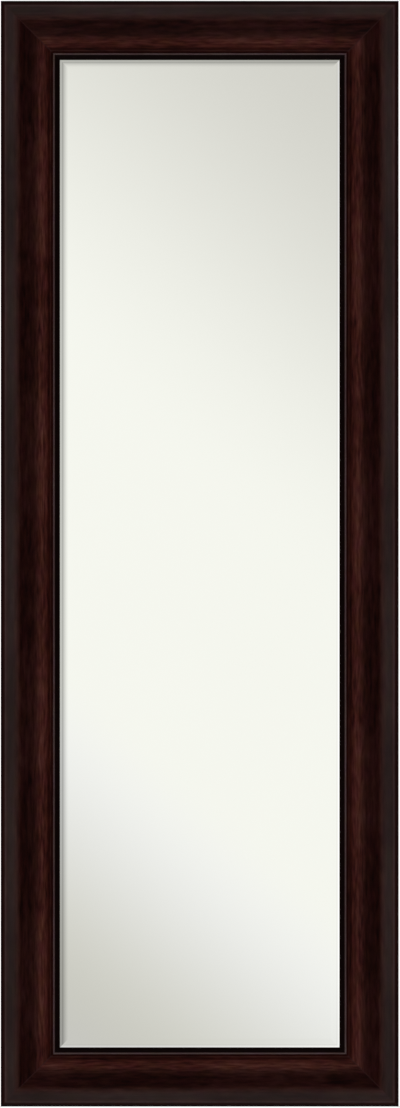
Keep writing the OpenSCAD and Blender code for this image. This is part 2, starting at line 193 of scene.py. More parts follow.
class FinishSettings(bpy.types.PropertyGroup):
    """Colours of the finishes, as linear values; some stain colours also hold painted highlights, sheen and
    shade.
    """

    stain_black: paint("Black stain", "The outer and sight edges", (0.0024, 0.0004, 0.0003))
    stain_deep: paint("Deep stain", "The hollow of the cove, and the outer side", (0.0104, 0.0017, 0.0013))
    stain_brown: paint("Brown stain", "Where the cove begins to rise, and the back of the outer side",
                       (0.0132, 0.0025, 0.0017))
    # the band's stain with part of its sheen painted in
    stain_band: paint("Band stain and sheen", "The flat band", (0.0136, 0.0047, 0.0035))
    stain_warm: paint("Warm stain", "Both sides of the band", (0.0213, 0.0046, 0.0030))
    stain_glow: paint("Glowing stain", "The rise to the red of the cove, and the end of the roll",
                      (0.0215, 0.0047, 0.0034))
    # the cove's end and the low roll are redder and paler
    stain_red: paint("Red stain", "Redder and paler where the cove ends", (0.0392, 0.0083, 0.0055))
    stain_roll: paint("Roll stain", "Redder and paler on the low roll", (0.0320, 0.0054, 0.0035))
    # painted shade where the surface falls to an edge or into the quirk
    stain_fall: paint("Falling shade", "Painted shade where the surface falls to an edge or into the quirk", (0.0137, 0.0012, 0.0004))
    # a painted highlight on the outer line and down the joints
    stain_rub: paint("Painted highlight", "The outer line, and the joints", (0.0250, 0.0088, 0.0088))
    # the bead's own stain with a painted highlight on its crest
    stain_bead: paint("Bead with painted highlight", "The inner bead", (0.0340, 0.0148, 0.0148))
    stretch: metres("Stretch", "Length of one paler and one darker stretch of stain", 0.3188, 0.01)
    bare_wood: paint("Bare wood", "The unfinished back", (0.52, 0.345, 0.19))
    hardboard: paint("Hardboard", "The back board", (0.135, 0.066, 0.030))
    silver: paint("Silvering", "The colour of the reflection", (0.925, 0.935, 0.868))


# ---------------------------------------------------------------------------------------------
# Meshes


def arc(centre, radius, start, end, steps):
    """Points on a round stretch between two angles in degrees."""
    turns = [math.radians(start + (end - start) * i / steps) for i in range(steps + 1)]
    return [(centre[0] + radius * math.cos(a), centre[1] + radius * math.sin(a)) for a in turns]


def places_across(m):
    """How far across the moulding the cove ends, the roll ends and the bead has its middle."""
    bead_at = RAIL_W - m.slope_width - m.bead_radius
    roll_end = bead_at - m.bead_radius - m.quirk_width
    return roll_end - m.roll_width, roll_end, bead_at


def moulding_section(m):
    """The moulding's outline as (across, height), its finished side first."""
    land, sight, outer_round = RAIL_W - m.rabbet_width, RAIL_W + m.coat, m.outer_radius + m.coat
    cove_end, roll_end, bead_at = places_across(m)
    cove_width, cove_height = cove_end - m.band_width, RAIL_D - m.cove_depth
    scoop = math.degrees(2 * math.atan(m.cove_depth / cove_width))
    cove_radius = cove_width / math.sin(math.radians(scoop)) - m.shoulder_radius
    roll = math.degrees(2 * math.atan(m.roll_drop / m.roll_width))
    roll_radius = m.roll_width / math.sin(math.radians(roll))
    quirk_height = cove_height - m.roll_drop - m.quirk_drop
    finished = (
        [(-m.coat, m.back_chamfer)]
        + arc((m.outer_radius, RAIL_D - m.band_step - outer_round), outer_round, 180, 90, 10)
        + [(m.outer_radius, RAIL_D - m.band_step / 2), (m.outer_radius + m.band_step / 2, RAIL_D)]
        + arc((m.band_width, RAIL_D - m.shoulder_radius), m.shoulder_radius, 90, 90 - scoop, 10)
        + arc((cove_end, cove_height + cove_radius), cove_radius, 270 - scoop, 270, 24)[1:]
        + arc((cove_end, cove_height - roll_radius), roll_radius, 90, 90 - roll, 8)[1:]
        + [(roll_end + m.quirk_width, quirk_height)]
        + arc((bead_at, quirk_height + m.bead_rise), m.bead_radius, 180, 60, 12)
        + [(sight - m.lip / 8, m.rabbet_depth + m.lip), (sight, m.rabbet_depth + m.lip * 7 / 8)]
    )
    bare = [(sight, m.rabbet_depth), (land, m.rabbet_depth), (land, 0), (m.back_chamfer, 0)]
    return finished + bare


def extruded(points, length):
    """A closed outline in x and y, run along z and centred on it."""
    bm = bmesh.new()
    face = bm.faces.new([bm.verts.new((x, y, -length / 2)) for x, y in points])
    grown = bmesh.ops.extrude_face_region(bm, geom=[face])["geom"]
    top = [v for v in grown if isinstance(v, bmesh.types.BMVert)]
    bmesh.ops.translate(bm, verts=top, vec=(0, 0, length))
    bmesh.ops.recalc_face_normals(bm, faces=bm.faces[:])
    return bm


def lathe(profile):
    """A profile of (radius, height) turned round z, closed at its ends where they lie on the axis."""
    bm = bmesh.new()
    verts = [bm.verts.new((r, 0, h)) for r, h in profile]
    edges = [bm.edges.new(ends) for ends in zip(verts, verts[1:])]
    if profile[0][0] > 0:
        edges.append(bm.edges.new((verts[-1], verts[0])))
    bmesh.ops.spin(bm, geom=verts + edges, cent=(0, 0, 0), axis=(0, 0, 1), angle=2 * math.pi,
                   steps=48, use_merge=True)
    bmesh.ops.remove_doubles(bm, verts=bm.verts[:], dist=NEAR)
    bmesh.ops.recalc_face_normals(bm, faces=bm.faces[:])
    return bm


def block(size):
    """A box of that size round the origin."""
    bm = bmesh.new()
    bmesh.ops.create_cube(bm, size=1)
    bmesh.ops.scale(bm, vec=size, verts=bm.verts[:])
    return bm


def bevelled(bm, edges, offset, segments, clamp=False):
    """Bevels some of the edges."""
    bmesh.ops.bevel(bm, geom=edges, offset=offset, segments=segments, profile=0.5, affect="EDGES",
                    material=-1, clamp_overlap=clamp)


def run(edge):
    """How far an edge goes along x, y and z."""
    return [abs(a - b) for a, b in zip(edge.verts[0].co, edge.verts[1].co)]


def turned(degrees, axis):
    return Matrix.Rotation(math.radians(degrees), 4, axis)


def to_door(x, y, z):
    """The place of something made along +z that points at the door, along +Y."""
    return Matrix.Translation((x, y, z)) @ turned(-90, "X")


def moved(bm, place):
    bmesh.ops.transform(bm, matrix=place, verts=bm.verts[:])
    return bm


def mesh_from(name, bm):
    """A mesh of what a bmesh holds, which is freed."""
    mesh = bpy.data.meshes.new(name)
    bm.to_mesh(mesh)
    bm.free()
    return mesh


def linked(name, data):
    """A new object in the scene."""
    obj = bpy.data.objects.new(name, data)
    bpy.context.scene.collection.objects.link(obj)
    return obj


def joined(parts):
    """One bmesh from several."""
    whole = bmesh.new()
    for part in parts:
        mesh = mesh_from("part", part)
        whole.from_mesh(mesh)
        bpy.data.meshes.remove(mesh)
    return whole


def at_each(make, places, y):
    """One bmesh of what make() gives, set at every (x, z) and pointing at the door."""
    return joined([moved(make(), to_door(x, y, z)) for x, z in places])


def cut(bm, cutters):
    """bm less the closed shapes in cutters."""
    body, cutter = [linked("cutting", mesh_from("cutting", shape)) for shape in (bm, joined(cutters))]
    boolean = body.modifiers.new("cut", "BOOLEAN")
    boolean.operation, boolean.solver, boolean.object = "DIFFERENCE", "EXACT", cutter
    bpy.context.view_layer.update()
    out = bmesh.new()
    out.from_mesh(body.evaluated_get(bpy.context.evaluated_depsgraph_get()).to_mesh())
    bmesh.ops.remove_doubles(out, verts=out.verts[:], dist=2 * NEAR)
    bmesh.ops.dissolve_degenerate(out, edges=out.edges[:], dist=2 * NEAR)
    # a cut leaves spare corners on straight edges, and not the same ones each time
    straight = 0.002
    spare = [v for v in out.verts if v.calc_edge_angle(1) < straight]
    bmesh.ops.dissolve_verts(out, verts=spare)
    for obj in (body, cutter):
        mesh = obj.data
        bpy.data.objects.remove(obj)
        bpy.data.meshes.remove(mesh)
    return out


def merged_copy(node):
    """A node's closed shape, to cut with: what lies flush with the wood's back is made to stand proud."""
    bm = bmesh.new()
    bm.from_mesh(frame["nodes"][node].data)
    bmesh.ops.remove_doubles(bm, verts=bm.verts[:], dist=NEAR)
    flush = [v for v in bm.verts if abs(v.co.y - BACK_Y) < 10 * NEAR]
    bmesh.ops.translate(bm, verts=flush, vec=(0, PROUD, 0))
    return bm


def insert_shape(h, bore, top):
    """A flanged insert from its bore outwards, flush with the back of the stile, which lies on z = 0."""
    body = h.insert_diameter / 2
    return lathe([(bore, top), (FLANGE_R, top), (FLANGE_R, -h.flange_thickness),
                  (body, -h.flange_thickness), (body, -INSERT_DEEP), (bore, -INSERT_DEEP)])


def piece(name, bm, materials, body, slot, *nodes, sharp=30, flat=None):
    """Makes the object, its mesh in place, and ties it to the construction."""
    mesh = mesh_from(name, bm)
    if sharp is not None:
        mesh.set_sharp_from_angle(angle=math.radians(sharp))
    # after the sharp edges, because finding them makes every face smooth
    for face in mesh.polygons:
        face.use_smooth = face.material_index != flat
    for material in materials:
        mesh.materials.append(material)
    obj = linked(name, mesh)
    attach(obj, body)
    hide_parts(*nodes)
    return obj


def dress(node, material):
    """Gives a node of the construction its finish."""
    mesh = frame["nodes"][node].data
    mesh.materials.clear()
    mesh.materials.append(material)


# ---------------------------------------------------------------------------------------------
# Materials


def shader(name):
    """A new material, its node tree and its Principled BSDF."""
    material = bpy.data.materials.new(name)
    material.use_nodes = True
    tree = material.node_tree
    return material, tree, tree.nodes["Principled BSDF"]


def fill(tree, node, **values):
    """Sets a node's sockets, by name or as _ and their number; a value that is an output is linked."""
    for name, value in values.items():
        socket = node.inputs[int(name[1:]) if name[0] == "_" else name.replace("_", " ")]
        if isinstance(value, bpy.types.NodeSocket):
            tree.links.new(value, socket)
        else:
            socket.default_value = value
    return node


def put(tree, kind, **values):
    """A new node with its own properties, then its sockets, set by name."""
    node = tree.nodes.new(kind)
    own = [name for name in values if hasattr(node, name)]
    for name in own:
        setattr(node, name, values.pop(name))
    return fill(tree, node, **values)


def maths(tree, operation, a, b=0.0, c=0.0):
    """A Math node's output."""
    return put(tree, "ShaderNodeMath", operation=operation, _0=a, _1=b, _2=c).outputs[0]


def mixed(tree, factor, a, b, blend="MIX"):
    """The colour output of a Mix node."""
    return put(tree, "ShaderNodeMix", data_type="RGBA", blend_type=blend, _0=factor, _6=a,
               _7=b).outputs[2]


def rgb(tree, red, green, blue):
    """A Combine Color node's output."""
    return put(tree, "ShaderNodeCombineColor", Red=red, Green=green, Blue=blue).outputs[0]


def shaded(tree, colour, shade):
    """A colour times a value."""
    return mixed(tree, 1.0, colour, rgb(tree, shade, shade, shade), "MULTIPLY")


def ramp(tree, factor, stops):
    """A Color Ramp through (place, colour or value) stops."""
    node = put(tree, "ShaderNodeValToRGB", Fac=factor)
    elements = node.color_ramp.elements
    while len(elements) < len(stops):
        elements.new(0.5)
    for element, (place, colour) in zip(elements, stops):
        element.position = place
        element.color = (colour,) * 3 + (1,) if isinstance(colour, float) else (*colour, 1)
    return node.outputs["Color"]


def mapped(tree, value, low, high, to_low=0.0, to_high=1.0, smooth=False):
    """A Map Range node's output."""
    return put(tree, "ShaderNodeMapRange", interpolation_type="SMOOTHSTEP" if smooth else "LINEAR",
               Value=value, From_Min=low, From_Max=high, To_Min=to_low, To_Max=to_high).outputs["Result"]


def noise(tree, vector, scale, detail, **values):
    """A Noise Texture node's outputs."""
    return put(tree, "ShaderNodeTexNoise", Vector=vector, Scale=scale, Detail=detail, **values).outputs


def object_place(tree):
    return put(tree, "ShaderNodeTexCoord").outputs["Object"]


def split(tree, vector):
    return put(tree, "ShaderNodeSeparateXYZ", Vector=vector).outputs


def relief(tree, surface, height, strength, distance):
    """A bump on a surface."""
    bump = put(tree, "ShaderNodeBump", Strength=strength, Distance=distance, Height=height)
    fill(tree, surface, Normal=bump.outputs[0])


def blended(tree, factor, first, second):
    """A Mix Shader node's output."""
    return put(tree, "ShaderNodeMixShader", _0=factor, _1=first, _2=second).outputs[0]


def seen(tree, ways):
    """1 for what the camera sees by itself, through something clear or in a mirror, from Light Path."""
    clear = maths(tree, "MAXIMUM", ways["Is Camera Ray"], ways["Is Transmission Ray"])
    return maths(tree, "MAXIMUM", clear, ways["Is Singular Ray"])


def group(name, inputs, outputs):
    """A shader node group, from its inputs' defaults (None for a vector) and its outputs' names."""
    tree = bpy.data.node_groups.new(name, "ShaderNodeTree")
    for label, default in inputs.items():
        kind = "NodeSocketVector" if default is None else "NodeSocketFloat"
        socket = tree.interface.new_socket(label, in_out="INPUT", socket_type=kind)
        if default is not None:
            socket.default_value = default
    for label in outputs:
        tree.interface.new_socket(label, in_out="OUTPUT", socket_type="NodeSocketFloat")
    return tree, tree.nodes.new("NodeGroupInput").outputs, tree.nodes.new("NodeGroupOutput")


def grain_group():
    """Grain that follows a length of wood: long streaks, hair lines, and short mottled patches."""
    tree, given, out = group(
        "Wood grain", {"Along": 0.0, "Across": 0.0, "Streak length": 0.25, "Streak width": 0.004,
                       "Patch length": 0.035, "Patch width": 0.009}, ("Streaks", "Lines", "Patches"))

    def marks(name, along, across, detail, rough, low, high):
        spot = put(tree, "ShaderNodeCombineXYZ", X=along, Y=across).outputs[0]
        spread = mapped(tree, noise(tree, spot, 1.0, detail, Roughness=rough)[0], low, high)
        fill(tree, out, **{name: spread})

    def scaled(name, size):
        return maths(tree, "DIVIDE", given[name], given[size])

    marks("Streaks", scaled("Along", "Streak length"), scaled("Across", "Streak width"), 3.0, 0.5, 0.3, 0.7)
    # hair lines turn 9 times in a metre along and 1500 times in a metre across
    marks("Lines", maths(tree, "MULTIPLY", given["Along"], 9.0),
          maths(tree, "MULTIPLY", given["Across"], 1500.0), 2.0, 0.7, 0.3, 0.7)
    marks("Patches", scaled("Along", "Patch length"), scaled("Across", "Patch width"), 4.0, 0.6, 0.28, 0.72)
    return tree


def speckle_group():
    """Cloudy variation and fine grit, for every finish that isn't wood."""
    tree, given, out = group("Speckle", {"Vector": None, "Cloud size": 0.03, "Grit size": 0.001},
                             ("Clouds", "Grit"))
    for name, size, detail in (("Clouds", "Cloud size", 4.0), ("Grit", "Grit size", 2.0)):
        scale = maths(tree, "DIVIDE", 1.0, given[size])
        spread = mapped(tree, noise(tree, given["Vector"], scale, detail)[0], 0.3, 0.7)
        fill(tree, out, **{name: spread})
    return tree


GROUPS = {"Wood grain": grain_group, "Speckle": speckle_group}


def placed(tree, name, **values):
    """The outputs of a node group in a material; the group is built the first time it is wanted."""
    made = bpy.data.node_groups.get(name) or GROUPS[name]()
    return put(tree, "ShaderNodeGroup", node_tree=made, **values).outputs


def pair(tree, uv_map):
    """The two distances that one of a moulding's own UV maps holds."""
    return split(tree, put(tree, "ShaderNodeUVMap", uv_map=uv_map).outputs[0])[:2]


def to_joint(tree):
    """The distance along a length of moulding from its nearer mitre."""
    half, place = pair(tree, "to_joint")
    return maths(tree, "SUBTRACT", half, maths(tree, "ABSOLUTE", place))


def stained_moulding(m, finish):
    """Very dark stain in zones across the section, redder and paler on the roll, mottled along the grain;
    highlights on the outer line, bead and joints, sheen on the band and shade at falling edges are painted
    in.
    """
    material, tree, surface = shader("stained moulding")
    along, across = pair(tree, "along_across")
    grain = placed(tree, "Wood grain", Along=along, Across=across, Streak_length=0.020,
                   Streak_width=0.0027, Patch_length=0.026, Patch_width=0.0054)
    cove_end, roll_end, bead_at = places_across(m)
    line, band_end = m.outer_radius + m.band_step, m.band_width
    bead_out, bead_in = bead_at - m.bead_radius, bead_at + m.bead_radius
    # the ramps run from the back of the outer side, below zero, to the sight edge
    low = -RAIL_D
    place = mapped(tree, across, low, RAIL_W)

    def zoned(*stops):
        """A ramp across the moulding, where a word stands for the stain of that name."""
        return ramp(tree, place, [
            ((u - low) / (RAIL_W - low),
             tuple(getattr(finish, "stain_" + value)) if isinstance(value, str) else value)
            for u, value in stops])

    colour = zoned(
        (-0.0200, "brown"), (-0.0050, "deep"), (-0.0006, "black"), (0.0006, "black"),
        # the outer line carries a painted highlight
        (line - 0.0007, "fall"), (line + 0.0002, "rub"), (line + 0.0012, "warm"), (line + 0.0036, "band"),
        # the band's colour holds painted sheen as well as its stain
        (band_end - 0.0070, "band"), (band_end - 0.0008, "warm"), (band_end + 0.0052, "deep"),
        (cove_end - 0.0170, "deep"), (cove_end - 0.0120, "brown"), (cove_end - 0.0085, "glow"),
        (cove_end - 0.0038, "red"), (cove_end - 0.0007, "red"), (cove_end + 0.0010, "roll"),
        # the falls here and beside the outer round are painted shade, where the surface turns away to an edge
        # or into the quirk
        (cove_end + 0.0034, "roll"), (roll_end - 0.0026, "fall"), (roll_end - 0.0010, "fall"),
        (roll_end, "glow"), (roll_end + 0.0008, "fall"), (bead_out, "fall"),
        # the bead's colour holds a painted highlight on its crest as well as its stain
        (bead_at - m.bead_radius * 0.6, "bead"), (bead_at + m.bead_radius * 0.6, "bead"),
        (bead_in, "black"))
    # broad patches in the cove, fine strokes on the roll, and little of either on the band
    patches = zoned((-0.010, 0.55), (band_end - 0.004, 0.55), (band_end + 0.006, 1.25),
                    (cove_end - 0.016, 1.15), (cove_end - 0.008, 0.25), (bead_at, 0.10))
    strokes = zoned((band_end - 0.004, 0.15), (band_end + 0.006, 0.45), (cove_end - 0.016, 0.50),
                    (cove_end - 0.008, 0.92), (roll_end, 1.05), (bead_at, 0.25))
    # paler and darker stretches follow each other, and the band is dark where the cove is pale
    turn = maths(tree, "COSINE", maths(tree, "MULTIPLY", along, 2 * math.pi / finish.stretch))
    ragged = maths(tree, "MULTIPLY_ADD", maths(tree, "SUBTRACT", grain["Patches"], 0.5), 0.5, turn)
    pale = mapped(tree, ragged, -0.30, 0.54, -0.46, 0.54, smooth=True)
    sway = zoned((-0.001, 0.4), (line + 0.001, 0.08), (band_end - 0.003, 0.08), (band_end + 0.003, 0.80),
                 (cove_end - 0.016, 0.80), (cove_end - 0.010, 0.67), (roll_end, 0.67), (bead_at, 0.50))
    sway = maths(tree, "MULTIPLY", maths(tree, "SUBTRACT", sway, 0.4), pale)
    worn = maths(tree, "ADD", sway, 1.0)
    for name, strength in (("Patches", patches), ("Streaks", strokes)):
        part = maths(tree, "SUBTRACT", grain[name], 0.5)
        worn = maths(tree, "MULTIPLY_ADD", part, strength, worn)
    fine = maths(tree, "MULTIPLY_ADD", grain["Lines"], 0.40, 0.80)
    worn = maths(tree, "MAXIMUM", maths(tree, "MULTIPLY", worn, fine), 0.3)
    # thick stain is a purer red and worn stain a browner one, and the tint wanders a little by itself
    spot = put(tree, "ShaderNodeCombineXYZ", X=maths(tree, "DIVIDE", along, 0.016),
               Y=maths(tree, "DIVIDE", across, 0.011))
    tints = noise(tree, spot.outputs[0], 1.0, 1.0)["Color"]
    tints = put(tree, "ShaderNodeSeparateColor", Color=tints).outputs
    over = maths(tree, "SUBTRACT", worn, 1.0)
    wear = [worn]
    for tint, usual, gain, wander in ((tints[1], 0.97, 0.65, 0.80), (tints[2], 0.955, 0.90, 1.10)):
        tint = maths(tree, "MULTIPLY_ADD", maths(tree, "SUBTRACT", tint, 0.5), wander, usual)
        tint = maths(tree, "MULTIPLY_ADD", over, gain, tint)
        wear.append(maths(tree, "MULTIPLY", worn, maths(tree, "MAXIMUM", tint, 0.1)))
    colour = mixed(tree, 1.0, colour, rgb(tree, *wear), "MULTIPLY")
    # a painted highlight: a thin paler line down the hollow of each corner, along the joint
    hollow = zoned((band_end - 0.002, 0.0), (band_end + 0.002, 1.0), (roll_end, 1.0),
                   (roll_end + 0.002, 0.0))
    seam_and_highlight = mapped(tree, to_joint(tree), 0.0003, 0.0013, 0.62, 0.0, smooth=True)
    colour = mixed(tree, maths(tree, "MULTIPLY", seam_and_highlight, hollow), colour, (*finish.stain_rub, 1))
    # the outer side is left matt
    matt = zoned((-0.0060, 1.0), (-0.0006, 0.0))
    rough = maths(tree, "MULTIPLY_ADD", grain["Streaks"], 0.12, 0.36)
    # the lacquer was rubbed up on what stands proud, and lies thin and dull elsewhere
    thin, even, full = 0.03, 0.34, 1.0
    coat = zoned((-0.0006, thin), (0.0012, thin), (line - 0.0008, 0.20), (line, 0.62),
                 (line + 0.0020, even), (band_end - 0.0050, even), (band_end + 0.0040, thin),
                 (roll_end - 0.0010, thin), (roll_end, 0.10), (roll_end + 0.0010, thin),
                 (bead_out, thin), (bead_at, full), (bead_in, 0.02))
    fill(tree, surface, Base_Color=colour, Roughness=maths(tree, "MULTIPLY_ADD", matt, 0.42, rough),
         Specular_IOR_Level=0.02, Coat_Weight=coat, Coat_Roughness=0.32)
    relief(tree, surface, grain["Lines"], 0.25, 0.00006)
    return material


def bare_moulding(finish):
    """The unfinished back of the moulding, with some overspray from its outer edge."""
    material, tree, surface = shader("bare moulding")
    along, across = pair(tree, "along_across")
    grain = placed(tree, "Wood grain", Along=along, Across=across, Streak_length=0.5,
                   Streak_width=0.0035, Patch_length=0.12, Patch_width=0.012)
    pale = Vector(finish.bare_wood)
    colour = ramp(tree, grain["Streaks"], [
        (0.0, tuple(pale * 0.62)), (0.45, tuple(pale * 0.88)), (0.7, tuple(pale)), (1.0, tuple(pale * 1.12))])
    tone = maths(tree, "MULTIPLY_ADD", grain["Patches"], 0.22, 0.86)
    tone = maths(tree, "MULTIPLY", tone, maths(tree, "MULTIPLY_ADD", grain["Lines"], 0.18, 0.91))
    edge = maths(tree, "MULTIPLY_ADD", grain["Patches"], -0.004, across)
    spray = mapped(tree, edge, -0.001, 0.005, 1.0, 0.0, smooth=True)
    colour = mixed(tree, spray, shaded(tree, colour, tone), (*finish.stain_band, 1))
    seam_and_highlight = mapped(tree, to_joint(tree), 0.0001, 0.0005, 0.7, 0.0, smooth=True)
    fill(tree, surface, Base_Color=mixed(tree, seam_and_highlight, colour, (*finish.stain_brown, 1)), Roughness=0.78,
         Specular_IOR_Level=0.3)
    relief(tree, surface, grain["Lines"], 0.4, 0.0001)
    return material


def speckled(name, colour, metallic=0.0, rough=(0.4, 0.5), tone=(0.9, 1.1), cloud=0.03, grit=0.001,
             bump=0.2, depth=0.0001, specular=0.5):
    """A finish of one colour with clouds, grit and a rough range; the shader is returned for more."""
    material, tree, surface = shader(name)
    speckle = placed(tree, "Speckle", Vector=object_place(tree), Cloud_size=cloud, Grit_size=grit)
    shade = maths(tree, "MULTIPLY", mapped(tree, speckle["Clouds"], 0.0, 1.0, *tone),
                  maths(tree, "MULTIPLY_ADD", speckle["Grit"], 0.12, 0.94))
    fill(tree, surface, Base_Color=shaded(tree, (*colour, 1), shade), Metallic=metallic,
         Roughness=mapped(tree, speckle["Clouds"], 0.0, 1.0, *rough), Specular_IOR_Level=specular)
    if bump:
        relief(tree, surface, speckle["Grit"], bump, depth)
    return material, tree, surface


# Finishes that are speckled and no more. The recess is the dark inside of a socket or slot, the powder coat
# is satin with a little orange peel, and its worn form is an edge rubbed thin and shiny, with a painted
# highlight on it.
PLAIN = {
    "zinc plated steel": dict(colour=(0.62, 0.63, 0.65), metallic=1.0, rough=(0.24, 0.42), cloud=0.004,
                              grit=0.0004, bump=0.1),
    "shaded recess": dict(colour=(0.10, 0.10, 0.105), metallic=0.8, rough=(0.55, 0.7), cloud=0.002,
                          grit=0.0003),
    "brass": dict(colour=(0.62, 0.40, 0.13), metallic=1.0, rough=(0.28, 0.45), cloud=0.004, grit=0.0004,
                  bump=0.1),
    "black powder coat": dict(colour=(0.0125, 0.0125, 0.0135), rough=(0.34, 0.46), tone=(0.85, 1.15),
                              cloud=0.02, grit=0.0009, bump=0.25, depth=0.00008),
    "worn powder coat": dict(colour=(0.040, 0.039, 0.038), metallic=0.3, rough=(0.26, 0.42),
                             tone=(0.6, 1.4), cloud=0.006, grit=0.0005, bump=0.1),
    "black rubber": dict(colour=(0.016, 0.016, 0.016), rough=(0.62, 0.8), tone=(0.8, 1.25), cloud=0.006,
                         grit=0.0006, bump=0.3, specular=0.35),
    "filler card": dict(colour=(0.34, 0.22, 0.11), rough=(0.8, 0.9), cloud=0.02, grit=0.0008,
                        specular=0.2),
    "ground glass edge": dict(colour=(0.20, 0.27, 0.24), rough=(0.35, 0.5), cloud=0.01, grit=0.0006),
}


def plain(name):
    return speckled(name, **PLAIN[name])[0]


def shaded_over(tree, surface, shade):
    """Darkens or lightens what a surface's base colour already is."""
    base = surface.inputs["Base Color"].links[0].from_socket
    fill(tree, surface, Base_Color=shaded(tree, base, shade))


def felt():
    """Pressed felt: a mat of pale and dark fibres that lie every way."""
    material, tree, surface = speckled("grey felt", (0.085, 0.085, 0.090), rough=(0.92, 1.0),
                                       tone=(0.85, 1.15), cloud=0.008, grit=0.0004, bump=0.0, specular=0.1)
    spot = object_place(tree)
    coarse, fine = [noise(tree, spot, scale, 2.0, Distortion=twist)[0]
                    for scale, twist in ((520.0, 3.0), (1100.0, 2.0))]
    mat = maths(tree, "MULTIPLY_ADD", fine, 0.5, coarse)
    shaded_over(tree, surface, mapped(tree, mat, 0.55, 0.95, 0.45, 1.55))
    relief(tree, surface, mat, 0.8, 0.0003)
    fill(tree, surface, Sheen_Weight=0.25, Sheen_Roughness=0.6)
    return material


def hardboard(finish):
    """The screened side of a hardboard sheet: a fine pressed mesh, and dark and pale fibres."""
    material, tree, surface = speckled("hardboard", finish.hardboard, rough=(0.66, 0.8), cloud=0.09,
                                       grit=0.0007, bump=0.0, specular=0.3)
    spot = object_place(tree)
    waves = [put(tree, "ShaderNodeTexWave", Vector=spot, Scale=130.0, bands_direction=direction,
                 wave_profile="SIN", Distortion=0.8, Detail=1.0).outputs["Fac"] for direction in ("X", "Z")]
    mesh = maths(tree, "MAXIMUM", *waves)
    long_spot = put(tree, "ShaderNodeMapping", Vector=spot, Scale=(60.0, 60.0, 14.0)).outputs[0]
    fibres = noise(tree, long_spot, 4.0, 5.0, Roughness=0.75)[0]
    # painted shade: the board is darker where its pressed mesh sinks
    shaded_over(tree, surface, maths(tree, "MULTIPLY", mapped(tree, mesh, 0.3, 1.0, 1.06, 0.84),
                                     mapped(tree, fibres, 0.3, 0.7, 0.86, 1.14)))
    relief(tree, surface, maths(tree, "SUBTRACT", 1.0, mesh), 0.6, 0.00015)
    return material


def silvered_glass(finish):
    """The mirror's face."""
    material, tree, surface = shader("silvered glass")
    speckle = placed(tree, "Speckle", Vector=object_place(tree), Cloud_size=0.2, Grit_size=0.004)
    shade = mapped(tree, speckle["Clouds"], 0.0, 1.0, 0.997, 1.003)
    fill(tree, surface, Base_Color=shaded(tree, (*finish.silver, 1), shade), Metallic=1.0, Roughness=0.0)
    return material


